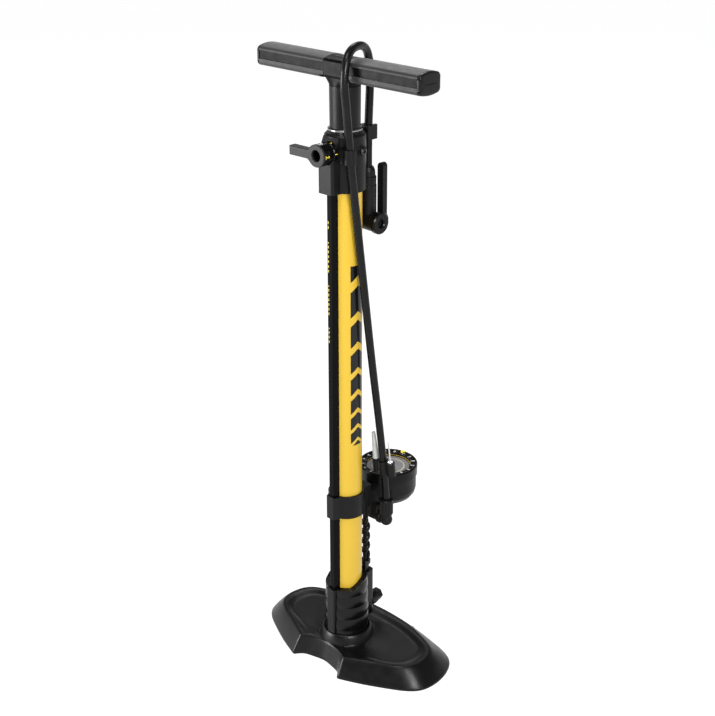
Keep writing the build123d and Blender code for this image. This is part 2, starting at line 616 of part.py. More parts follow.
with BuildPart() as piston:
    add(turned([(0, PISTON_LOW), (BARREL_BORE_R - FREE, PISTON_LOW), (BARREL_BORE_R - FREE, 61.0),
                (14.4, 61.0), (14.4, 65.0), (BARREL_BORE_R - FREE, 65.0), (BARREL_BORE_R - FREE, 74.0),
                (ROD_R + 0.01, 74.0), (ROD_R + 0.01, 61.9), (0, 61.9)]))
write(piston, "piston")

with BuildPart() as piston_ring:
    add(turned([(14.5, 61.2), (BARREL_BORE_R - RUNNING, 61.2), (BARREL_BORE_R - RUNNING, 64.8),
                (14.5, 64.8)]))
write(piston_ring, "piston_ring")

# A rubber sleeve above the piston meets the guide bush at the top of the stroke.
with BuildPart() as top_out_sleeve:
    extrude(disc(74.1, 12.0, ROD_R + 0.02), amount=594.0 - STROKE - 1.0 - 74.1)
write(top_out_sleeve, "top_out_sleeve")

with BuildPart() as handle_stem:
    add(turned([(ROD_R + 0.05, STEM_LOW + 3.4), (STEM_R, STEM_LOW + 3.4), (STEM_R + 0.3, STEM_TOP - 0.2),
                (ROD_R + 0.05, STEM_TOP - 0.2)]))
write(handle_stem, "handle_stem")

with BuildPart() as stem_ring:
    add(turned([(ROD_R + 0.05, STEM_LOW), (17.6, STEM_LOW), (18.9, STEM_LOW + 1.0),
                (18.9, STEM_LOW + 2.3), (17.2, STEM_LOW + 3.3), (ROD_R + 0.05, STEM_LOW + 3.3)]))
write(stem_ring, "stem_ring")

# ------------------------------------------------------------------ handle
CROWN, BELLY, CORNER_R = 3.0, 2.4, 3.6


def handle_section(x, inset=0.0):
    """The handle's whole section, facing +X: flat front and back, crowned top, rounded underside."""
    y = HANDLE_DEPTH_HALF - inset
    top, low = HANDLE_TOP - inset, HANDLE_LOW + inset
    with BuildSketch(Plane(origin=(x, 0, 0), x_dir=(0, 1, 0), z_dir=(1, 0, 0))) as sketch:
        with BuildLine():
            Line((-y, low + BELLY), (-y, top - CROWN))
            ThreePointArc((-y, top - CROWN), (0, top), (y, top - CROWN))
            Line((y, top - CROWN), (y, low + BELLY))
            ThreePointArc((y, low + BELLY), (0, low), (-y, low + BELLY))
        make_face()
        fillet(sketch.vertices(), CORNER_R - inset / 2)
    return sketch.sketch


def slice_between(low, high):
    """A wide block between two heights, to cut the handle's section into layers."""
    with BuildPart() as block:
        with Locations((0, 0, (low + high) / 2)):
            Box(400, 80, high - low)
    return block.part


NECK_HALF, NECK_RISE = 21.0, 4.4
CAP_LENGTH = 4.0
GRIP_LENGTH = HANDLE_HALF - CAP_LENGTH - HUB_HALF - 0.2


def grip(low, high):
    """A pair of grip pads, one each side of the hub, between two heights."""
    with BuildPart() as pads:
        extrude(handle_section(HUB_HALF + 0.1), amount=GRIP_LENGTH)
        extrude(handle_section(-HUB_HALF - 0.1), amount=-GRIP_LENGTH)
        add(slice_between(low, high), mode=Mode.INTERSECT)
        # room for the hub's neck
        with Locations((0, 0, HANDLE_LOW)):
            Box(2 * NECK_HALF + 1.0, 80, 2 * NECK_RISE + 0.8, mode=Mode.SUBTRACT)
    return pads


grip_upper = grip(BAND_TOP + 0.1, 760.0)
write(grip_upper, "grip_upper")
grip_lower = grip(680.0, BAND_LOW - 0.1)
write(grip_lower, "grip_lower")


def neck_top():
    """The neck's upper section, inside the bar."""
    with BuildSketch(Plane.XY.offset(HANDLE_LOW + NECK_RISE)) as sketch:
        RectangleRounded(2 * NECK_HALF, 30.0, 8.0)
    return sketch.sketch


with BuildPart() as handle_bar:
    bar_half = HANDLE_HALF - CAP_LENGTH - 0.1
    extrude(handle_section(-bar_half, 0.9), amount=2 * bar_half)
    add(slice_between(BAND_LOW, BAND_TOP), mode=Mode.INTERSECT)
    extrude(handle_section(-HUB_HALF, 0.2), amount=2 * HUB_HALF)
    # the neck flares from the stem into the bar
    loft([disc(STEM_TOP, STEM_R), neck_top()])
    extrude(disc(STEM_TOP, 2.6), amount=12.0, mode=Mode.SUBTRACT)
write(handle_bar, "handle_bar")

with BuildPart() as grip_caps:
    extrude(handle_section(HANDLE_HALF - CAP_LENGTH), amount=CAP_LENGTH)
    extrude(handle_section(-HANDLE_HALF + CAP_LENGTH), amount=-CAP_LENGTH)
    fillet(grip_caps.faces().sort_by(Axis.X)[-1].edges(), 1.6)
    fillet(grip_caps.faces().sort_by(Axis.X)[0].edges(), 1.6)
write(grip_caps, "grip_caps")

with BuildPart() as handle_screw:
    add(turned([(0, STEM_TOP - 12), (2.5, STEM_TOP - 12), (2.5, STEM_TOP + 11.5), (0, STEM_TOP + 11.5)]))
write(handle_screw, "handle_screw")

# ------------------------------------------------------------------ accessory holder on the hose


def hose_vector(n):
    """The direction of the hose's run from point n to the next."""
    return (Vector(*HOSE[n + 1]) - Vector(*HOSE[n])).normalized()


HOLDER_AXIS = hose_vector(1)
HOLDER = Vector(*HOSE[1]) + HOLDER_AXIS * 3.0
HOLDER_PLANE = Plane(origin=HOLDER, x_dir=(1, 0, 0.01), z_dir=HOLDER_AXIS)
HOLDER_HEIGHT = 17.0
NOZZLE_OFFSET, NEEDLE_OFFSET = -11.2, 11.4
NOZZLE_BORE_R, NEEDLE_BORE_R = 3.4, 3.2

with BuildPart() as accessory_holder:
    with BuildSketch(HOLDER_PLANE):
        Circle(6.4)
        with Locations((NOZZLE_OFFSET, 0), (NEEDLE_OFFSET, 0)):
            Circle(5.2)
        Rectangle(2 * NEEDLE_OFFSET, 5.0)
        Circle(HOSE_R + 0.3, mode=Mode.SUBTRACT)
    extrude(amount=HOLDER_HEIGHT)
    with BuildSketch(HOLDER_PLANE.offset(3.0)):
        with Locations((NOZZLE_OFFSET, 0)):
            Circle(NOZZLE_BORE_R)
        with Locations((NEEDLE_OFFSET, 0)):
            Circle(NEEDLE_BORE_R)
    extrude(amount=HOLDER_HEIGHT, mode=Mode.SUBTRACT)
write(accessory_holder, "accessory_holder")

NOZZLE_LENGTH, NEEDLE_LENGTH = 52.0, 46.0
with BuildPart() as bladder_nozzle:
    with BuildSketch(HOLDER_PLANE.offset(3.1)):
        with Locations((NOZZLE_OFFSET, 0)):
            Circle(NOZZLE_BORE_R - RUNNING)
            Circle(1.0, mode=Mode.SUBTRACT)
    extrude(amount=HOLDER_HEIGHT - 3.0)
    with BuildSketch(HOLDER_PLANE.offset(HOLDER_HEIGHT + 0.1)):
        with Locations((NOZZLE_OFFSET, 0)):
            Circle(3.9)
    with BuildSketch(HOLDER_PLANE.offset(NOZZLE_LENGTH)):
        with Locations((NOZZLE_OFFSET, 0)):
            Circle(2.2)
    loft()
    with BuildSketch(HOLDER_PLANE.offset(3.0)):
        with Locations((NOZZLE_OFFSET, 0)):
            Circle(1.0)
    extrude(amount=NOZZLE_LENGTH, mode=Mode.SUBTRACT)
write(bladder_nozzle, "bladder_nozzle")

with BuildPart() as ball_needle:
    with BuildSketch(HOLDER_PLANE.offset(3.1)):
        with Locations((NEEDLE_OFFSET, 0)):
            Circle(NEEDLE_BORE_R - RUNNING)
    extrude(amount=HOLDER_HEIGHT - 1.5)
    with BuildSketch(HOLDER_PLANE.offset(HOLDER_HEIGHT)):
        with Locations((NEEDLE_OFFSET, 0)):
            Circle(0.9)
    extrude(amount=NEEDLE_LENGTH - HOLDER_HEIGHT)
write(ball_needle, "ball_needle")

# ------------------------------------------------------------------ pump head
with BuildPart() as head_collar:
    add(turned([(0, 589.0), (9.0, 589.0), (9.2, 598.0), (8.2, 599.0), (7.8, 605.0), (6.2, 609.0),
                (0, 609.0)], HEAD_X, HEAD_Y))
write(head_collar, "head_collar")

CHAMBER_R = 8.0
with BuildPart() as head_body:
    extrude(disc(MOUTH_Z, 9.4, centre=(HEAD_X, HEAD_Y)), amount=588.9 - MOUTH_Z)
    add(along_x(HEAD_Y, MOUTH_Z, -10.0, [(0, 0), (0, 9.4), (1.2, 10.6), (27.9, 11.2), (27.9, 0)]))
    # the lever's boss
    with BuildSketch(Plane(origin=(LEVER_X, HEAD_Y, MOUTH_Z), x_dir=(1, 0, 0), z_dir=(0, 1, 0))):
        Circle(6.5)
    extrude(amount=LEVER_Y[0] - HEAD_Y - FREE)
    with BuildSketch(Plane(origin=(-8.0, HEAD_Y, MOUTH_Z), x_dir=(0, 1, 0), z_dir=(1, 0, 0))):
        Circle(CHAMBER_R)
    extrude(amount=40, mode=Mode.SUBTRACT)
    with BuildSketch(Plane(origin=(LEVER_X, HEAD_Y + 7, MOUTH_Z), x_dir=(1, 0, 0), z_dir=(0, 1, 0))):
        Circle(2.5 + RUNNING)
    extrude(amount=20, mode=Mode.SUBTRACT)
    extrude(disc(MOUTH_Z + 8, 2.0, centre=(HEAD_X, HEAD_Y)), amount=60, mode=Mode.SUBTRACT)
write(head_body, "head_body")

with BuildPart() as head_gasket:
    add(along_x(HEAD_Y, MOUTH_Z, 3.0, [(0, VALVE_R), (0, 7.9), (16.5, 7.9), (16.5, VALVE_R)]))
write(head_gasket, "head_gasket")

with BuildPart() as head_ring:
    add(along_x(HEAD_Y, MOUTH_Z, 18.0, [(1.7, 4.6), (1.7, 7.9), (0.1, 7.9), (0.1, 12.4), (4.8, 12.4),
                                        (6.0, 11.2), (6.0, 6.0), (4.6, 4.6)]))
write(head_ring, "head_ring")

with BuildPart() as head_plunger:
    add(along_x(HEAD_Y, MOUTH_Z, -7.0, [(0, 0), (0, CHAMBER_R - RUNNING), (7.0, CHAMBER_R - RUNNING),
                                        (7.0, 0)]))
write(head_plunger, "head_plunger")

LEVER_HALF = 4.2
with BuildPart() as head_lever:
    with BuildSketch(Plane(origin=(LEVER_X, LEVER_Y[0], MOUTH_Z), x_dir=(1, 0, 0), z_dir=(0, 1, 0))):
        Circle(6.5)
        with Locations((0, -(LEVER_TOP - MOUTH_Z - LEVER_HALF) / 2)):
            Rectangle(2 * LEVER_HALF, LEVER_TOP - MOUTH_Z - LEVER_HALF)
        with Locations((0, -(LEVER_TOP - MOUTH_Z - LEVER_HALF))):
            Circle(LEVER_HALF)
    extrude(amount=LEVER_Y[1] - LEVER_Y[0])
    fillet(head_lever.faces().sort_by(Axis.Y)[-1].edges(), 1.0)
    with BuildSketch(Plane(origin=(LEVER_X, HEAD_Y + 9.0, MOUTH_Z), x_dir=(1, 0, 0), z_dir=(0, 1, 0))):
        Circle(2.5)
    extrude(amount=LEVER_Y[0] - HEAD_Y - 9.0)
write(head_lever, "head_lever")


# ------------------------------------------------------------------ hose
def bend_radii(route):
    """One radius for each corner: 0.45 of the shorter run over the tangent of half the turn."""
    radii = []
    for before, at, after in zip(route, route[1:], route[2:]):
        first, second = Vector(*at) - Vector(*before), Vector(*after) - Vector(*at)
        turn = radians(first.get_angle(second))
        radii.append(0.45 * min(first.length, second.length) / tan(turn / 2))
    return radii


def hose_solid(route, radii):
    """A round tube along a route, with an arc at each corner."""
    with BuildPart() as solid:
        with BuildLine() as path:
            FilletPolyline(*route, radius=radii)
        start = Vector(*route[1]) - Vector(*route[0])
        with BuildSketch(Plane(origin=route[0], z_dir=start)):
            Circle(HOSE_R)
        sweep(path=path.line)
    length = sum(edge.length for edge in path.line.edges())
    print(f"hose {length:.1f} mm, volume ratio {solid.part.volume / (pi * HOSE_R**2 * length):.4f}")
    return solid


RADII = bend_radii(HOSE)
print("bend radii", [round(r) for r in RADII])
hose_all = hose_solid(HOSE, RADII)

# The front strand below the hook's middle; the rear strand lies outside this box.
with BuildPart() as front_strand:
    with Locations((30.0, 10.0, HOSE[HOOK_POINT][2] / 2)):
        Box(36.0, 80.0, HOSE[HOOK_POINT][2])

with BuildPart() as hose_lower:
    add(hose_all.part)
    add(front_strand.part, mode=Mode.INTERSECT)
write(hose_lower, "hose_lower")

with BuildPart() as hose_loop:
    add(hose_all.part)
    add(front_strand.part, mode=Mode.SUBTRACT)
write(hose_loop, "hose_loop")
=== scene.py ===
from math import cos, pi, radians, sin

import bmesh
import bpy
from mathutils import Matrix, Vector


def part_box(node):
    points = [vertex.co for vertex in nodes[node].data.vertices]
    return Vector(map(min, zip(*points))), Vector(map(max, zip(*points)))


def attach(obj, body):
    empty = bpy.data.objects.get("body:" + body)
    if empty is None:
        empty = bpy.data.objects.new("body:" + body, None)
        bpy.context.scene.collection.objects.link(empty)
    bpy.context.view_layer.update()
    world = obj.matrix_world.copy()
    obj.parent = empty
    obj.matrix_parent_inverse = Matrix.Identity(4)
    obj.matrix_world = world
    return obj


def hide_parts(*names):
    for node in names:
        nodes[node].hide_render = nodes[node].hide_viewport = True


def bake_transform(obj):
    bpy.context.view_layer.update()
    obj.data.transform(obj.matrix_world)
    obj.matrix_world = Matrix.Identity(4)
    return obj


# Looks of a two-mode floor bike pump, in metres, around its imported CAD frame. +X runs along the handle,
# -Y is the front with the foot notch and the side rail, +Y is the rear with the gauge.

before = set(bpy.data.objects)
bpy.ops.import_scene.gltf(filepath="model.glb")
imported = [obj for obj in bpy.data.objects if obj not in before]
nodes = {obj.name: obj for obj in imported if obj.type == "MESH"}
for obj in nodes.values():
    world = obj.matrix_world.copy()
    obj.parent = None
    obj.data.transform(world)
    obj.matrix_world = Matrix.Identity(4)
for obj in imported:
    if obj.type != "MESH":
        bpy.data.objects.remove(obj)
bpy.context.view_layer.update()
MM = 0.001


def mm(*values):
    """Millimetres to a point in metres."""
    return tuple(value * MM for value in values)


def middle(node):
    """The middle of a CAD node's box."""
    low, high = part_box(node)
    return (low + high) / 2


# ------------------------------------------------------------------ camera
# It stands to the front right of the pump and looks down at it.
CAMERA_PLACE = (1.0081, -1.06199, 1.01639)
CAMERA_DOWN, CAMERA_TURN = 23.127, 42.995
LENS = 70.5

camera_data = bpy.data.cameras.new("camera")
camera_data.lens = LENS
camera = bpy.data.objects.new("camera", camera_data)
camera.location = CAMERA_PLACE
camera.rotation_euler = (radians(90.0 - CAMERA_DOWN), 0.0, radians(CAMERA_TURN))
bpy.context.scene.collection.objects.link(camera)
bpy.context.scene.camera = camera
bpy.context.scene.view_settings.view_transform = "Standard"


# ------------------------------------------------------------------ materials
class Shader:
    """A node material around one Principled shader, with short calls for the nodes it uses."""

    def __init__(self, name, colour, roughness, settings=()):
        self.material = bpy.data.materials.new(name)
        self.material.use_nodes = True
        self.nodes = self.material.node_tree.nodes
        self.links = self.material.node_tree.links
        self.shader = self.nodes["Principled BSDF"]
        self.fill(self.shader, {"Base Color": (*colour, 1.0), "Roughness": roughness})
        self.fill(self.shader, settings)
        self.point = self.nodes.new("ShaderNodeTexCoord").outputs["Object"]

    def fill(self, node, inputs):
        for socket, value in dict(inputs).items():
            if isinstance(value, bpy.types.NodeSocket):
                self.links.new(value, node.inputs[socket])
            else:
                node.inputs[socket].default_value = value

    def add(self, kind, inputs=(), output=0, **settings):
        """A new node with its inputs filled in, as its output socket."""
        node = self.nodes.new("ShaderNode" + kind)
        for name, value in settings.items():
            setattr(node, name, value)
        self.fill(node, inputs)
        return node.outputs[output]

    def maths(self, operation, *values):
        return self.add("Math", dict(enumerate(values)), operation=operation)

    def noise(self, scale, detail=2.0, point=None):
        return self.add("TexNoise", {"Vector": point or self.point, "Scale": scale, "Detail": detail})

    def stretched(self, x, y, z):
        """The object's own coordinates, scaled on each axis."""
        return self.add("Mapping", {"Vector": self.point, "Scale": (x, y, z)})

    def spread(self, value, low, high):
        """A value from about 0.3 to 0.7, such as a noise, run out between two others."""
        return self.add("MapRange", {"Value": value, 1: 0.3, 2: 0.7, 3: low, 4: high})

    def blend(self, factor, first, second):
        """One colour where the factor is 0, and the other where it is 1."""
        colours = {"Factor": factor, 6: (*first, 1.0), 7: (*second, 1.0)}
        return self.add("Mix", colours, output=2, data_type="RGBA")

    def both(self, *masks):
        """1 where every mask is 1."""
        result = masks[0]
        for mask in masks[1:]:
            result = self.maths("MULTIPLY", result, mask)
        return result

    def tone(self, colour, scale, share):
        """Slight light and dark patches in a colour."""
        dark = [value * (1.0 - share) for value in colour]
        light = [value * (1.0 + share) for value in colour]
        blended = self.blend(self.spread(self.noise(scale), 0.0, 1.0), dark, light)
        self.fill(self.shader, {"Base Color": blended})
        return blended

    def sheen_change(self, scale, low, high):
        """Roughness that wanders between two values."""
        self.fill(self.shader, {"Roughness": self.spread(self.noise(scale), low, high)})

    def relief(self, height, depth, edge=0.0):
        """Bump from a height, over edges that are softened by a small radius."""
        inputs = {"Height": height, "Distance": depth, "Strength": 1.0}
        if edge:
            inputs["Normal"] = self.add("Bevel", {"Radius": edge}, samples=6)
        self.fill(self.shader, {"Normal": self.add("Bump", inputs)})


def moulded(name, grey, roughness, grain, depth, edge=0.0006, settings=()):
    """Moulded plastic or rubber: a fine grain, slight patches of tone and gloss, softened edges."""
    shader = Shader(name, grey, roughness, {"Specular IOR Level": 0.15, **dict(settings)})
    shader.tone(grey, 45.0, 0.18)
    shader.sheen_change(120.0, roughness - 0.05, roughness + 0.05)
    shader.relief(shader.noise(grain, 3.0), depth, edge)
    return shader


def black(value):
    return (value, value, value * 1.04)


def metal(name, colour, roughness, edge=0.0003):
    """Turned metal with fine rings round the vertical axis."""
    shader = Shader(name, colour, roughness, {"Metallic": 1.0})
    rings = shader.noise(900.0, 2.0, shader.stretched(0.05, 0.05, 1.0))
    shader.fill(shader.shader, {"Roughness": shader.spread(rings, roughness - 0.06, roughness + 0.08)})
    shader.relief(rings, 0.00001, edge)
    return shader


BARREL_R = (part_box("barrel")[1].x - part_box("barrel")[0].x) / 2
CHEVRONS_Z = (0.288, 0.507)
# degrees that a chevron reaches each way from the side of the barrel, its rise for each metre across,
# the height that its sizes count from, its size against the one below it, and its share of a step
CHEVRON_REACH, CHEVRON_SLANT, CHEVRON_ORIGIN, CHEVRON_GROWTH, CHEVRON_SHARE = 30.0, 0.8, 0.19, 1.16, 0.74


def painted_barrel(yellow, ink):
    """Gloss yellow paint with a column of black chevrons down each side, at +X and -X."""
    gloss = {"Coat Weight": 0.12, "Coat Roughness": 0.08, "Specular IOR Level": 0.25}
    shader = Shader("barrel_paint", yellow, 0.3, gloss)
    axes = shader.add("SeparateXYZ", {"Vector": shader.point})
    x, y, z = axes.node.outputs
    edge = BARREL_R * cos(radians(CHEVRON_REACH))
    side = shader.maths("GREATER_THAN", shader.maths("ABSOLUTE", x), edge)
    above = shader.maths("GREATER_THAN", z, CHEVRONS_Z[0])
    below = shader.maths("LESS_THAN", z, CHEVRONS_Z[1])
    slanted = shader.maths("MULTIPLY_ADD", shader.maths("ABSOLUTE", y), CHEVRON_SLANT, z)
    steps = shader.maths("LOGARITHM", shader.maths("SUBTRACT", slanted, CHEVRON_ORIGIN), CHEVRON_GROWTH)
    bars = shader.maths("LESS_THAN", shader.maths("FRACT", steps), CHEVRON_SHARE)
    mask = shader.both(side, above, below, bars)
    shader.fill(shader.shader, {"Base Color": shader.blend(mask, yellow, ink)})
    shader.relief(shader.noise(260.0, 2.0), 0.00001)
    return shader


# how far the knob's drum reaches from its axis, and the thickness of the lip in front of it
DRUM_REACH, KNOB_LIP = 13.0 * MM, 2.2 * MM


def knob_plastic():
    """The selector knob: satin on its face and lever, gloss black round its drum behind a thin lip."""
    shader = moulded("knob_black", black(0.012), 0.36, 1600.0, 0.00003)
    axes = shader.add("SeparateXYZ", {"Vector": shader.point})
    x, y, z = axes.node.outputs
    knob_low, knob_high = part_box("selector_knob")
    drum_x = knob_high.x - (knob_high.z - knob_low.z) / 2
    beside = shader.maths("GREATER_THAN", x, drum_x - DRUM_REACH)
    behind = shader.maths("GREATER_THAN", y, knob_low.y + KNOB_LIP)
    drum = shader.both(beside, behind)
    shader.fill(shader.shader, {"Base Color": shader.blend(drum, black(0.014), black(0.002))})
    shader.fill(shader.shader, {"Roughness": shader.maths("MULTIPLY_ADD", drum, -0.14, 0.37)})
    return shader


# the column of dashes on the rail: its middle, half its width, the face that it is on and its ends, then
# the dashes and the groups of dashes in each metre
DASH_X, DASH_HALF, DASH_FACE_Y, DASHES_Z = -0.0019, 0.0007, -0.0245, (0.415, 0.56)
DASHES_PER_METRE, GROUPS_PER_METRE = 180.0, 20.0


def rail_with_marks():
    """Gloss black strip with a column of small dashes on its face, like an index scale."""
    shader = Shader("rail_black", black(0.002), 0.12, {"Specular IOR Level": 0.06})
    axes = shader.add("SeparateXYZ", {"Vector": shader.point})
    x, y, z = axes.node.outputs
    across = shader.maths("ABSOLUTE", shader.maths("SUBTRACT", x, DASH_X))
    column = shader.maths("LESS_THAN", across, DASH_HALF)
    face = shader.maths("LESS_THAN", y, DASH_FACE_Y)
    above = shader.maths("GREATER_THAN", z, DASHES_Z[0])
    below = shader.maths("LESS_THAN", z, DASHES_Z[1])
    in_dash = shader.maths("FRACT", shader.maths("MULTIPLY", z, DASHES_PER_METRE))
    in_group = shader.maths("FRACT", shader.maths("MULTIPLY", z, GROUPS_PER_METRE))
    dashes = shader.maths("LESS_THAN", in_dash, 0.55)
    groups = shader.maths("LESS_THAN", in_group, 0.7)
    mask = shader.both(column, face, above, below, dashes, groups)
    shader.fill(shader.shader, {"Base Color": shader.blend(mask, black(0.002), (0.42, 0.33, 0.08))})
    shader.relief(shader.noise(500.0), 0.000004, 0.0004)
    return shader


def ribbed_rubber(name, grey, roughness):
    """Hose cover: satin rubber with a faint lay round the hose."""
    shader = Shader(name, grey, roughness, {"Specular IOR Level": 0.16})
    shader.tone(grey, 90.0, 0.2)
    shader.sheen_change(160.0, roughness - 0.05, roughness + 0.06)
    shader.relief(shader.noise(2200.0, 2.0), 0.00003)
    return shader


def dial_face():
    """The silvered centre of the dial, brushed in one direction."""
    shader = Shader("dial_silver", (0.27, 0.27, 0.28), 0.45, {"Metallic": 0.2})
    brushed = shader.noise(1400.0, 2.0, shader.stretched(0.04, 1.0, 1.0))
    streaks = shader.spread(brushed, 0.0, 1.0)
    silver = shader.blend(streaks, (0.24, 0.24, 0.25), (0.33, 0.33, 0.34))
    shader.fill(shader.shader, {"Base Color": silver})
    shader.relief(brushed, 0.000006)
    return shader


YELLOW = (0.50, 0.325, 0.026)
LOW_GLOSS = {"Specular IOR Level": 0.2}
NO_GLOSS = {"Specular IOR Level": 0.04}

base_plastic = moulded("base_plastic", black(0.003), 0.33, 1300.0, 0.00004, settings=LOW_GLOSS)
black_plastic = moulded("black_plastic", black(0.0045), 0.36, 1600.0, 0.00004)
boot_plastic = moulded("boot_plastic", black(0.002), 0.26, 1400.0, 0.00002, settings=LOW_GLOSS)
gloss_black = moulded("gloss_black", black(0.002), 0.22, 900.0, 0.00001, 0.0005)
knob_black = knob_plastic()
soft_rubber = moulded("soft_rubber", black(0.012), 0.62, 1800.0, 0.00006)
grip_rubber = moulded("grip", black(0.013), 0.42, 2400.0, 0.00008, 0.0009, {"Sheen Weight": 0.15})
grip_band = moulded("grip_band", black(0.003), 0.3, 1500.0, 0.000006, settings=NO_GLOSS)
cap_black = moulded("end_cap", black(0.006), 0.3, 1500.0, 0.00002, 0.0)
hose_rubber = ribbed_rubber("hose_rubber", black(0.004), 0.25)
barrel_paint = painted_barrel(YELLOW, black(0.002))
rail_black = rail_with_marks()
steel = metal("steel", (0.6, 0.6, 0.62), 0.27)
silver_ring = metal("silver_ring", (0.3, 0.3, 0.31), 0.28)
black_steel = metal("black_steel", (0.05, 0.05, 0.052), 0.34)
brass = metal("brass", (0.72, 0.5, 0.22), 0.3)
dial_silver = dial_face()
inner_plastic = moulded("inner_plastic", (0.7, 0.7, 0.67), 0.45, 900.0, 0.00003)
nozzle_grey = moulded("nozzle_grey", (0.4, 0.41, 0.41), 0.38, 700.0, 0.00002)
marker_yellow = moulded("marker", (0.86, 0.68, 0.05), 0.34, 700.0, 0.00001, 0.0002)
print_white = moulded("print_white", (0.9, 0.9, 0.88), 0.5, 800.0, 0.000005)
print_yellow = moulded("print_yellow", (0.8, 0.55, 0.03), 0.5, 800.0, 0.000005)
print_pale = moulded("print_pale", (0.76, 0.72, 0.55), 0.5, 800.0, 0.000005)
lens = Shader("lens", (0.02, 0.02, 0.022), 0.03, {"Alpha": 0.07, "IOR": 1.49})
lens.sheen_change(40.0, 0.02, 0.06)

FINISHES = {
    base_plastic: "base_plate centre_pad",
    black_plastic: "gauge_band gauge_cup hose_elbow hose_nut accessory_holder top_cap hose_hook rear_clip "
    "head_collar head_body head_lever handle_stem guide_bush check_plug head_plunger",
    knob_black: "selector_knob",
    boot_plastic: "boot",
    gloss_black: "selector_housing selector_body gauge_bezel head_ring dial_ring gauge_pointer",
    soft_rubber: "foot_pads piston_ring top_out_sleeve head_gasket",
    grip_rubber: "grip_upper grip_lower",
    grip_band: "handle_bar grip_caps",
    hose_rubber: "hose_lower hose_loop transfer_hose spiral_guard",
    barrel_paint: "barrel",
    rail_black: "side_rail",
    steel: "base_bolt plunger_rod handle_screw check_spring check_ball ball_needle",
    silver_ring: "stem_ring",
    black_steel: "cap_screw hose_ferrule",
    brass: "bourdon_tube gauge_movement check_seat",
    dial_silver: "dial_plate",
    inner_plastic: "piston",
    nozzle_grey: "bladder_nozzle",
    marker_yellow: "set_marker",
    lens: "gauge_lens",
}
for shader, names in FINISHES.items():
    for name in names.split():
        nodes[name].data.materials.clear()
        nodes[name].data.materials.append(shader.material)


# ------------------------------------------------------------------ mesh helpers
def piece(name, parts, shader, body="root", sharp=35.0):
    """One object made from (points, faces) parts, riding on a CAD body, or on none."""
    points, faces = [], []
    for part_points, part_faces in parts:
        first = len(points)
        points += [tuple(point) for point in part_points]
        faces += [[first + index for index in face] for face in part_faces]
    mesh = bpy.data.meshes.new(name)
    mesh.from_pydata(points, [], faces)
    shaped = bmesh.new()
    shaped.from_mesh(mesh)
    bmesh.ops.recalc_face_normals(shaped, faces=shaped.faces)
    shaped.to_mesh(mesh)
    shaped.free()
    mesh.polygons.foreach_set("use_smooth", [True] * len(mesh.polygons))
    mesh.set_sharp_from_angle(angle=radians(sharp))
    mesh.materials.append(shader.material)
    made = bpy.data.objects.new(name, mesh)
    bpy.context.scene.collection.objects.link(made)
    if body:
        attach(made, body)
    return made


def skin(rings, ends="caps"):
    """Quads between rings of equally many points. ends: caps, or join for the last ring to the first."""
    count = len(rings[0])
    points = [point for ring in rings for point in ring]
    faces = []
    last = len(rings) if ends == "join" else len(rings) - 1
    for j in range(last):
        low, high = j * count, (j + 1) % len(rings) * count
        for i in range(count):
            after = (i + 1) % count
            faces.append([low + i, low + after, high + after, high + i])
    if ends == "caps":
        faces.append(list(range(count))[::-1])
        faces.append([(len(rings) - 1) * count + i for i in range(count)])
    return points, faces


def circle(radius, z, centre=(0.0, 0.0), count=48):
    turns = [2 * pi * i / count for i in range(count)]
    return [(centre[0] + radius * cos(a), centre[1] + radius * sin(a), z) for a in turns]


def arc_strip(centre, radii, heights, span, rise=0.00008, steps=72):
    """A thin printed arc: its inner and outer radius, their heights, and its angles in degrees."""
    rings = []
    for step in range(steps + 1):
        angle = radians(span[0] + (span[1] - span[0]) * step / steps)
        across = [(radii[0], heights[0]), (radii[1], heights[1])]
        low = [(r, z - rise) for r, z in across]
        high = [(r, z + rise) for r, z in reversed(across)]
        rings.append([(centre.x + r * cos(angle), centre.y + r * sin(angle), z) for r, z in low + high])
    return skin(rings)


# ------------------------------------------------------------------ hose
# The route repeats the CAD hose's own points.
HOSE_ROUTE = [
    (28.0, 40.0, 204.0), (27.8, 36.4, 238.0), (27.2, 27.6, 305.0), (26.6, 14.4, 390.0),
    (25.9, 3.0, 474.0), (25.4, -8.4, 556.0), (24.0, -17.8, 633.0), (23.6, -22.6, 684.0),
    (23.2, -26.9, 718.0), (20.2, -15.6, 744.4), (11.0, 19.6, 744.4), (6.8, 32.2, 719.0),
    (4.8, 33.2, 690.0), (3.5, 32.3, 648.0), (3.5, 32.3, 609.0),
]
HOSE_R = 0.0045


def make_hose():
    curve = bpy.data.curves.new("hose", "CURVE")
    curve.dimensions = "3D"
    curve.bevel_depth = HOSE_R
    curve.bevel_resolution = 8
    curve.use_fill_caps = True
    spline = curve.splines.new("NURBS")
    spline.points.add(len(HOSE_ROUTE) - 1)
    for point, place in zip(spline.points, HOSE_ROUTE):
        point.co = (*mm(*place), 1.0)
    spline.order_u = 3
    spline.use_endpoint_u = True
    spline.resolution_u = 24
    curve.materials.append(hose_rubber.material)
    hose = bpy.data.objects.new("hose", curve)
    bpy.context.scene.collection.objects.link(hose)
    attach(hose, "root")
    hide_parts("hose_lower", "hose_loop")


make_hose()

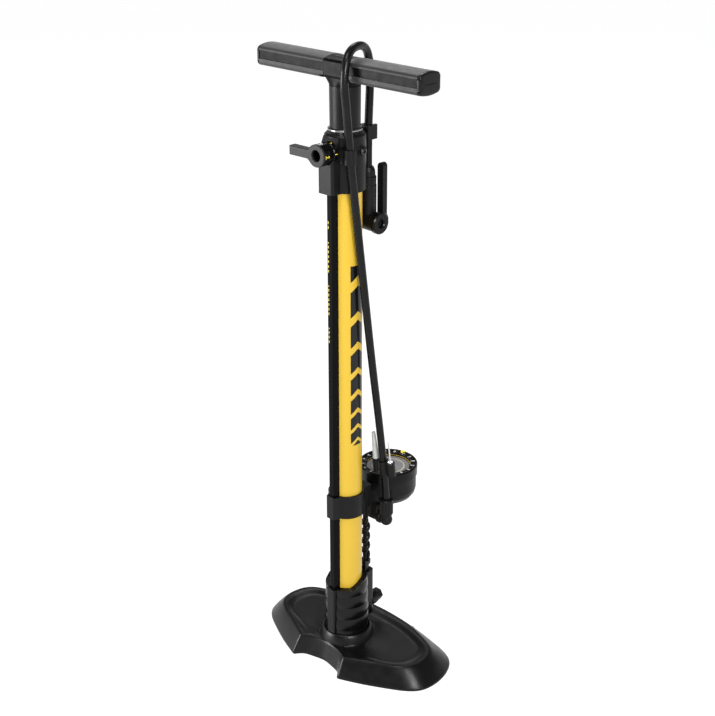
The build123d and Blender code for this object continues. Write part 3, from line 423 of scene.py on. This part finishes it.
# ------------------------------------------------------------------ base
# Right halves of the floor outline and the deck's edge, rear centre to front cusp, and of the foot
# notch, centre to cusp. Millimetres, as in the CAD.
FLOOR_EDGE = [
    (0, 84), (30, 83), (60, 80), (85, 75), (103, 69), (116, 60), (125, 45),
    (130, 28), (131, 10), (127, -6), (115, -19), (93, -32), (65, -46), (36.9, -57.5),
]
DECK_EDGE = [
    (0, 65), (23, 64), (46, 61), (68, 55), (86, 48), (98, 42), (106, 33),
    (110, 20), (110, 6), (104, -7), (90, -18), (72, -26), (54, -35), (35.5, -44.5),
]
NOTCH_FLOOR = [(0, -41), (17, -44), (29, -48), (36.9, -57.5)]
NOTCH_DECK = [(0, -33.6), (16, -35.8), (29.3, -40.3), (35.5, -44.5)]
OUTER_COUNT, NOTCH_COUNT = 230, 60
DECK_Z, CREST_Z, DISH_Z, BOSS_TOP = 24.0, 25.4, 22.4, 35.6
BOSS_FOOT_R, SOCKET_R, COLUMN_R = 33.4, 27.1, 32.0


def smoothstep(value):
    value = min(max(value, 0.0), 1.0)
    return value * value * (3 - 2 * value)


def through(points, count):
    """Evenly spaced points along a smooth curve through the given ones, without the last end."""
    padded = [points[0]] + points + [points[-1]]
    fine = []
    for a, b, c, d in zip(padded, padded[1:], padded[2:], padded[3:]):
        a, b, c, d = (Vector(p) for p in (a, b, c, d))
        for step in range(24):
            t = step / 24
            bend = (2 * a - 5 * b + 4 * c - d) * t * t + (3 * b - a - 3 * c + d) * t**3
            fine.append(b + ((c - a) * t + bend) / 2)
    fine.append(Vector(points[-1]))
    lengths = [0.0]
    for before, after in zip(fine, fine[1:]):
        lengths.append(lengths[-1] + (after - before).length)
    spaced, at = [], 0
    for step in range(count):
        target = lengths[-1] * step / count
        while lengths[at + 1] < target:
            at += 1
        share = (target - lengths[at]) / max(lengths[at + 1] - lengths[at], 1e-9)
        spaced.append(fine[at].lerp(fine[at + 1], share))
    return spaced


def outline(outer, notch):
    """A closed outline: left cusp, round the rear to the right cusp, and back along the notch."""
    left = [(-x, y) for x, y in reversed(outer) if x]
    right_to_left = list(reversed(notch)) + [(-x, y) for x, y in notch[1:]]
    points = through(left + outer, OUTER_COUNT) + through(right_to_left, NOTCH_COUNT)
    # the cusps are slightly rounded
    for _ in range(2):
        points = [(points[i - 1] + 2 * p + points[(i + 1) % len(points)]) / 4 for i, p in enumerate(points)]
    return points


def base_rings():
    """The base's closed shell as rings: up inside the skirt, over the deck and the boss, and back down."""
    floor, deck = outline(FLOOR_EDGE, NOTCH_FLOOR), outline(DECK_EDGE, NOTCH_DECK)
    boss = [p.normalized() * BOSS_FOOT_R for p in deck]
    room = [(d - b).length for d, b in zip(deck, boss)]
    # how much of the raised crest and the dish a place has: none at the notch
    wing = [smoothstep((gap - 3.0) / 34.0) for gap in room]
    rings = []

    def ring(place, height):
        points = zip(floor, deck, boss, room, wing)
        rings.append([mm(*place(f, d, b, gap), height(w)) for f, d, b, gap, w in points])

    def skirt(share, inset=1.0):
        return lambda f, d, b, gap: f.lerp(d, share) * inset

    def onto_deck(distance):
        return lambda f, d, b, gap: d.lerp(b, min(distance / max(gap, 0.1), 0.96))

    def round_boss(radius):
        return lambda f, d, b, gap: b.normalized() * radius

    ring(skirt(0.0, 0.972), lambda w: 1.0)
    ring(skirt(0.0, 0.995), lambda w: 1.0)
    ring(skirt(0.0), lambda w: 1.7)
    ring(skirt(0.005), lambda w: 3.0)
    ring(skirt(0.03), lambda w: 3.9)
    for step in range(1, 13):
        t = step / 13
        ring(skirt(0.03 + 0.87 * t), lambda w: 3.9 + (DECK_Z - 4.9 + 1.0 * w) * (t + 0.05 * w * sin(pi * t)))
    ring(skirt(0.955), lambda w: DECK_Z - 0.35 + (CREST_Z - DECK_Z) * w * 0.9)
    ring(skirt(1.0), lambda w: DECK_Z + (CREST_Z - DECK_Z) * w)
    for step in range(1, 15):
        t = step / 14
        fall = (CREST_Z - DISH_Z) * smoothstep((t - 0.12) / 0.88)
        ring(onto_deck(1.0 + 17.0 * t), lambda w: DECK_Z + (CREST_Z - DECK_Z - fall) * w)
    for step in range(1, 8):
        share = step / 8
        ring(
            lambda f, d, b, gap: d.lerp(b, min(18.0 / max(gap, 0.1), 0.96)).lerp(b, share),
            lambda w: DECK_Z + (DISH_Z - DECK_Z) * w * (1 - smoothstep((share - 0.55) / 0.45) * 0.55),
        )
    for radius, z in [(BOSS_FOOT_R, 24.0), (33.0, 25.4), (32.2, 28.0), (30.6, 32.0), (29.3, 34.6),
                      (28.7, 35.3), (27.9, BOSS_TOP), (27.4, 35.4), (SOCKET_R, 34.8), (SOCKET_R, 20.0),
                      (SOCKET_R, 4.2), (31.4, 4.2), (COLUMN_R, 4.8), (COLUMN_R, 19.0), (33.5, 20.4)]:
        ring(round_boss(radius), lambda w: z)
    ring(lambda f, d, b, gap: d * 0.93, lambda w: 20.6)
    ring(skirt(0.8, 0.955), lambda w: 16.5)
    ring(skirt(0.4, 0.96), lambda w: 9.0)
    return rings, floor, deck


rings, floor_line, deck_line = base_rings()
base = piece("base_shell", [skin(rings, ends="join")], base_plastic, sharp=50.0)
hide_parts("base_plate")


RIB_LOW, RIB_TOP, RIB_HALF = 5.0, 20.4, 1.3
RIB_ANGLES = (8, 38, 90, 142, 172)


def rib(angle):
    """A plate under the deck from the socket column out to the skirt."""
    direction = Vector((cos(radians(angle)), sin(radians(angle))))

    def reach(line, inset):
        return max(line, key=lambda p: p.normalized().dot(direction)).length * inset

    foot, head = reach(floor_line, 0.945), reach(deck_line, 0.94)
    corners = [(COLUMN_R, RIB_LOW), (foot, RIB_LOW), (head, RIB_TOP), (COLUMN_R, RIB_TOP)]
    side = Vector((-direction.y, direction.x))
    faces = []
    for offset in (-RIB_HALF, RIB_HALF):
        faces.append([mm(*(direction * r + side * offset), z) for r, z in corners])
    return skin(faces)


def post(x, y):
    """A round post over a foot pad."""
    centre = mm(x, y)
    profile = [(8.5, 3.2), (8.5, 20.8), (7.0, 20.8), (7.0, 3.2)]
    return skin([circle(r * MM, z * MM, centre) for r, z in profile], ends="join")


PAD_POINTS = [(98, 30), (-98, 30), (62, -16), (-62, -16), (50, 58), (-50, 58)]
piece(
    "base_ribs",
    [rib(angle) for angle in RIB_ANGLES] + [post(*point) for point in PAD_POINTS],
    base_plastic,
)

# ------------------------------------------------------------------ handle end caps and hub slots
HANDLE_Y, HANDLE_LOW, HANDLE_TOP = 16.2, 708.3, 732.8
CROWN, BELLY, CORNER_R = 3.0, 2.4, 3.8
# an end cap's rounding, from its joint with the grip to its face: how far in, and how far back
CAP_ROUNDING = [
    (0.0, 4.0), (0.0, 2.6), (0.2, 1.7), (0.75, 0.95), (1.5, 0.55), (2.6, 0.3), (4.0, 0.17), (6.0, 0.07),
    (9.0, 0.0),
]
SLOT_HALF, SLOT_END, SLOT_X, SLOTS_Y = 6.5, 0.9, -5.0, (-4.2, 3.2)


def bulged(start, end, rise, count):
    """Points of a shallow arc between two corners, without them, that rises by so much in the middle."""
    shares = [step / (count + 1) for step in range(1, count + 1)]
    return [start.lerp(end, t) + Vector((0.0, rise * (1 - (2 * t - 1) ** 2))) for t in shares]


def handle_section(inset):
    """The handle's section, (y, z) in millimetres, with its four corners rounded."""
    y, top, low = HANDLE_Y - inset, HANDLE_TOP - inset, HANDLE_LOW + inset
    shoulder, hip = top - CROWN, low + BELLY
    corners = [Vector(corner) for corner in ((y, hip), (y, shoulder), (-y, shoulder), (-y, hip))]
    rises = [0.0, CROWN, 0.0, -BELLY]
    points = []
    for at, corner in enumerate(corners):
        before, after = corners[at - 1], corners[(at + 1) % 4]
        lead = bulged(before, corner, rises[at - 1], 15)
        tail = bulged(corner, after, rises[at], 15)
        radius = max(CORNER_R - inset * 0.5, 0.8)
        start = corner + (lead[-1] - corner).normalized() * radius
        end = corner + (tail[0] - corner).normalized() * radius
        for step in range(7):
            t = step / 6
            points.append(start * (1 - t) ** 2 + 2 * corner * t * (1 - t) + end * t * t)
        points += tail[1:-1]
    return points


def grip_cap(side):
    """An end cap: well-rounded edges round a slightly crowned face."""
    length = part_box("grip_caps")[1].x / MM
    rings = []
    for inset, back in CAP_ROUNDING:
        rings.append([mm(side * (length - back), *point) for point in handle_section(inset)])
    return skin(rings)


caps = piece("end_caps", [grip_cap(1), grip_cap(-1)], cap_black, body="plunger", sharp=60.0)
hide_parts("grip_caps")


def hub_slot(y):
    """A moulded slot's dark lip on the crown of the hub."""
    height = HANDLE_TOP - 0.2 - CROWN * (y / HANDLE_Y) ** 2
    outline_points = []
    for turn in range(0, 360, 15):
        along, across = cos(radians(turn)), sin(radians(turn))
        end = SLOT_HALF - SLOT_END if along > 0 else SLOT_END - SLOT_HALF
        outline_points.append((SLOT_X + end + SLOT_END * along, y + SLOT_END * across))
    return skin([[mm(x, y_at, z) for x, y_at in outline_points] for z in (height - 0.4, height + 0.12)])


piece("hub_slots", [hub_slot(y) for y in SLOTS_Y], gloss_black, body="plunger")

# ------------------------------------------------------------------ spiral guard on the transfer hose
transfer = middle("transfer_hose")
GUARD_PITCH, GUARD_HALF = 0.013, 0.0046
GUARD_SECTION = [(3.45, -1.0), (4.7, -0.86), (5.7, -0.5), (6.1, 0.0), (5.7, 0.5), (4.7, 0.86), (3.45, 1.0)]


def guard_band():
    """A convex band wound round the hose."""
    low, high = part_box("spiral_guard")
    start, end = low.z + GUARD_HALF, high.z - GUARD_HALF
    steps = int((end - start) / GUARD_PITCH * 40)
    sections = []
    for step in range(steps + 1):
        z = start + (end - start) * step / steps
        angle = 2 * pi * (z - start) / GUARD_PITCH
        around = Vector((cos(angle), sin(angle), 0.0))
        section = []
        for r, along in GUARD_SECTION:
            section.append(Vector((transfer.x, transfer.y, z + along * GUARD_HALF)) + around * r * MM)
        sections.append(section)
    return skin(sections)


guard = piece("guard_band", [guard_band()], hose_rubber)
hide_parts("spiral_guard")

# ------------------------------------------------------------------ check valve's spring
SPRING_R, SPRING_WIRE, SPRING_TURNS = 2.2 * MM, 0.35 * MM, 5


def check_spring():
    """A coil spring along Y that fills its CAD box."""
    low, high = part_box("check_spring")
    x, z = (low.x + high.x) / 2, (low.z + high.z) / 2
    start, length = low.y + SPRING_WIRE, high.y - low.y - 2 * SPRING_WIRE
    steps = SPRING_TURNS * 24
    rings = []
    for step in range(steps + 1):
        turn = 2 * pi * SPRING_TURNS * step / steps
        out = Vector((cos(turn), 0.0, sin(turn)))
        centre = Vector((x, start + length * step / steps, z)) + out * SPRING_R
        turns = [2 * pi * n / 8 for n in range(8)]
        rings.append([centre + (out * cos(a) + Vector((0.0, sin(a), 0.0))) * SPRING_WIRE for a in turns])
    return skin(rings)


spring = piece("valve_spring", [check_spring()], steel, body=None)
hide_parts("check_spring")
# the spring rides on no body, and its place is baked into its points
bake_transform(spring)

# ------------------------------------------------------------------ gauge print
gauge = middle("gauge_bezel")
plate_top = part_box("dial_plate")[1].z
ring_low, ring_top = plate_top + 1.4 * MM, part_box("dial_ring")[1].z
ZERO_ANGLE, STEP_ANGLE, STEPS = -90.0, -22.0, 14
STEP_VALUE = 10


def numeral(text, angle, radius, size):
    """A number printed on the dial's ring, read outward along the radius."""
    curve = bpy.data.curves.new("numeral", "FONT")
    curve.body = text
    curve.size = size
    curve.extrude = 0.03 * MM
    curve.offset = 0.22 * MM
    curve.align_x, curve.align_y = "CENTER", "CENTER"
    carrier = bpy.data.objects.new("numeral", curve)
    mesh = bpy.data.meshes.new_from_object(carrier)
    turn = radians(angle)
    along = Vector((cos(turn), sin(turn), 0.0))
    up = Vector((0.0, 0.0, 1.0))
    place = Vector((gauge.x, gauge.y, ring_top)) + along * radius
    basis = Matrix((along, up.cross(along), up)).transposed()
    points = [place + basis @ vertex.co for vertex in mesh.vertices]
    faces = [list(polygon.vertices) for polygon in mesh.polygons]
    bpy.data.objects.remove(carrier)
    bpy.data.curves.remove(curve)
    bpy.data.meshes.remove(mesh)
    return points, faces


def tick(angle, inner, outer, width):
    """A short radial line on the ring, by its width in degrees."""
    return arc_strip(
        gauge, (inner, outer), (ring_top + 0.02 * MM,) * 2,
        (angle - width / 2, angle + width / 2), steps=2,
    )


scale = []
for step in range(STEPS + 1):
    angle = ZERO_ANGLE + STEP_ANGLE * step
    scale.append(numeral(str(step * STEP_VALUE), angle, 31.0 * MM, 3.1 * MM))
    scale.append(tick(angle, 27.8 * MM, 28.6 * MM, 2.4))
    if step < STEPS:
        scale += [tick(angle + STEP_ANGLE * part / 5, 27.8 * MM, 28.2 * MM, 0.6) for part in range(1, 5)]
piece("dial_scale", scale, print_white)

full = (ZERO_ANGLE, ZERO_ANGLE + STEP_ANGLE * STEPS)
outer_span = (full[1] + 84, full[0] - 66)
outer_arc = arc_strip(gauge, (26.2 * MM, 27.0 * MM), (ring_low + 0.03 * MM,) * 2, outer_span)
piece("scale_arc", [outer_arc], print_yellow)
inner_arc = arc_strip(gauge, (18.9 * MM, 20.3 * MM), (plate_top,) * 2, full)
piece("inner_scale_arc", [inner_arc], print_pale)


def plate_tick(angle, inner, outer, width):
    return arc_strip(gauge, (inner, outer), (plate_top,) * 2, (angle - width / 2, angle + width / 2), steps=2)


minor = [plate_tick(full[0] + STEP_ANGLE * STEPS * n / 50, 20.6 * MM, 22.0 * MM, 0.5) for n in range(51)]
major = [plate_tick(full[0] + STEP_ANGLE * STEPS * n / 10, 20.6 * MM, 23.4 * MM, 1.0) for n in range(11)]
piece("inner_scale_ticks", minor + major, black_steel)


def dome(centre, radius, height):
    """A low round cap on the dial."""
    profile = [(1.0, 0.0), (1.0, 0.5), (0.86, 0.82), (0.5, 0.97), (0.05, 1.0)]
    return skin([circle(radius * r, centre.z + height * z, centre, 32) for r, z in profile])


pointer_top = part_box("gauge_pointer")[1].z
hub = Vector((gauge.x, gauge.y, pointer_top))
piece("pointer_cap", [dome(hub, 2.3 * MM, 0.7 * MM)], silver_ring, body="pointer")

# ------------------------------------------------------------------ selector marks
knob = middle("selector_housing")
drum_r = (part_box("selector_knob")[1].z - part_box("selector_knob")[0].z) / 2
housing_r = (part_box("selector_housing")[1].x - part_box("selector_housing")[0].x) / 2


def drum_patch(radius, angle, y, width, length):
    """A thin curved patch printed on a drum that lies along Y."""
    rings = []
    for step in range(7):
        turn = radians(angle) + width / radius * (step / 6 - 0.5)
        out = Vector((cos(turn), 0.0, sin(turn)))
        axis = Vector((knob.x, 0.0, knob.z))
        corners = [(radius - 0.05 * MM, y), (radius - 0.05 * MM, y + length),
                   (radius + 0.06 * MM, y + length), (radius + 0.06 * MM, y)]
        rings.append([axis + out * r + Vector((0.0, along, 0.0)) for r, along in corners])
    return skin(rings)


def drum_hoop(radius, angle, y, size, width):
    """A small printed hoop on the same drum."""
    rings = []
    for step in range(24):
        around = 2 * pi * step / 24
        section = []
        for reach, lift in [(size, -0.05), (size, 0.06), (size - width, 0.06), (size - width, -0.05)]:
            turn = radians(angle) + reach * cos(around) / radius
            r = radius + lift * MM
            section.append((knob.x + r * cos(turn), y + reach * sin(around), knob.z + r * sin(turn)))
        rings.append(section)
    return skin(rings, ends="join")


drum_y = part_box("selector_knob")[0].y + 3.0 * MM
white_marks = [
    drum_patch(drum_r, 88.0, drum_y, 4.6 * MM, 0.8 * MM),
    drum_patch(drum_r, 88.0, drum_y + 1.6 * MM, 3.2 * MM, 0.7 * MM),
    drum_hoop(drum_r, 82.0, drum_y + 4.2 * MM, 1.5 * MM, 0.6 * MM),
]
piece("selector_marks_white", white_marks, print_white, body="selector")
yellow_marks = [
    drum_patch(drum_r, -2.0, drum_y, 3.6 * MM, 0.6 * MM),
    drum_patch(drum_r, -2.0, drum_y + 1.0 * MM, 0.8 * MM, 2.4 * MM),
    drum_hoop(drum_r, -2.0, drum_y + 4.7 * MM, 1.1 * MM, 0.5 * MM),
]
piece("selector_marks_yellow", yellow_marks, marker_yellow, body="selector")
housing_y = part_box("selector_housing")[0].y + 1.0 * MM
index_marks = [drum_patch(housing_r, angle, housing_y, 0.8 * MM, 3.4 * MM) for angle in (68.0, 2.0)]
piece("index_marks", index_marks, marker_yellow)

# ------------------------------------------------------------------ small marks and slots
holder_axis = (Vector(HOSE_ROUTE[2]) - Vector(HOSE_ROUTE[1])).normalized()
holder_x = (Vector((1.0, 0.0, 0.01)) - holder_axis * Vector((1.0, 0.0, 0.01)).dot(holder_axis)).normalized()
holder_y = holder_axis.cross(holder_x)
holder = Vector(HOSE_ROUTE[1]) + holder_axis * 3.0
NEEDLE_OFFSET, NEEDLE_CAP_Z = 11.4, 18.6


def on_holder(x, y, z):
    """A point in the accessory holder's own millimetre axes."""
    return (holder + holder_x * x + holder_y * y + holder_axis * z) * MM


def arrow():
    """Two short bars in a V on the needle's head."""
    parts = []
    for turn in (45.0, 135.0):
        for shift in (-0.9, 0.7):
            across = Vector((cos(radians(turn)), sin(radians(turn))))
            along = Vector((-across.y, across.x)) * 0.28
            start = Vector((0.0, shift))
            end = start - across * 1.6
            corners = [start + along, end + along, end - along, start - along]
            rings = []
            for z in (NEEDLE_CAP_Z - 0.02, NEEDLE_CAP_Z + 0.08):
                rings.append([on_holder(NEEDLE_OFFSET + corner.x, corner.y, z) for corner in corners])
            parts.append(skin(rings))
    return parts


piece("needle_arrow", arrow(), print_white, body="needle")

# ------------------------------------------------------------------ floor and light
floor_mesh = bpy.data.meshes.new("floor")
FLOOR_HALF = 30.0
floor_mesh.from_pydata(
    [(x * FLOOR_HALF, y * FLOOR_HALF, 0) for x, y in ((-1, -1), (1, -1), (1, 1), (-1, 1))],
    [],
    [[0, 1, 2, 3]],
)
floor = bpy.data.objects.new("floor", floor_mesh)
glow = {"Emission Color": (1.0, 1.0, 1.0, 1.0), "Emission Strength": 0.93}
floor_shader = Shader("floor", (0.2, 0.2, 0.2), 0.9, glow)
floor_mesh.materials.append(floor_shader.material)
bpy.context.scene.collection.objects.link(floor)


def studio_world(bright_below, dim_above, dim):
    """A white surround, bright near the horizon and dim overhead; both limits are sines of elevation."""
    world = bpy.data.worlds.new("studio")
    world.use_nodes = True
    tree = world.node_tree
    background = tree.nodes["Background"]
    background.inputs["Color"].default_value = (1.0, 1.0, 1.0, 1.0)
    direction = tree.nodes.new("ShaderNodeTexCoord")
    axes = tree.nodes.new("ShaderNodeSeparateXYZ")
    glow = tree.nodes.new("ShaderNodeMapRange")
    settings = {"From Min": bright_below, "From Max": dim_above, "To Min": 1.0, "To Max": dim}
    for socket, value in settings.items():
        glow.inputs[socket].default_value = value
    tree.links.new(direction.outputs["Generated"], axes.inputs[0])
    tree.links.new(axes.outputs["Z"], glow.inputs["Value"])
    tree.links.new(glow.outputs["Result"], background.inputs["Strength"])
    bpy.context.scene.world = world


studio_world(0.12, 0.3, 0.15)


def softbox(name, place, size, power):
    """A square area light that looks at the middle of the pump."""
    data = bpy.data.lights.new(name, "AREA")
    data.size = size
    data.energy = power
    lamp = bpy.data.objects.new(name, data)
    lamp.location = place
    lamp.rotation_euler = (Vector((0.0, 0.0, 0.4)) - Vector(place)).to_track_quat("-Z", "Y").to_euler()
    bpy.context.scene.collection.objects.link(lamp)


softbox("key", (-1.3, -1.6, 0.6), 0.8, 50.0)
softbox("side", (1.7, -0.9, 1.3), 0.7, 46.0)
softbox("top", (0.3, -0.9, 2.3), 0.9, 26.0)
softbox("rear", (-1.25, 1.35, 2.35), 0.9, 14.0)
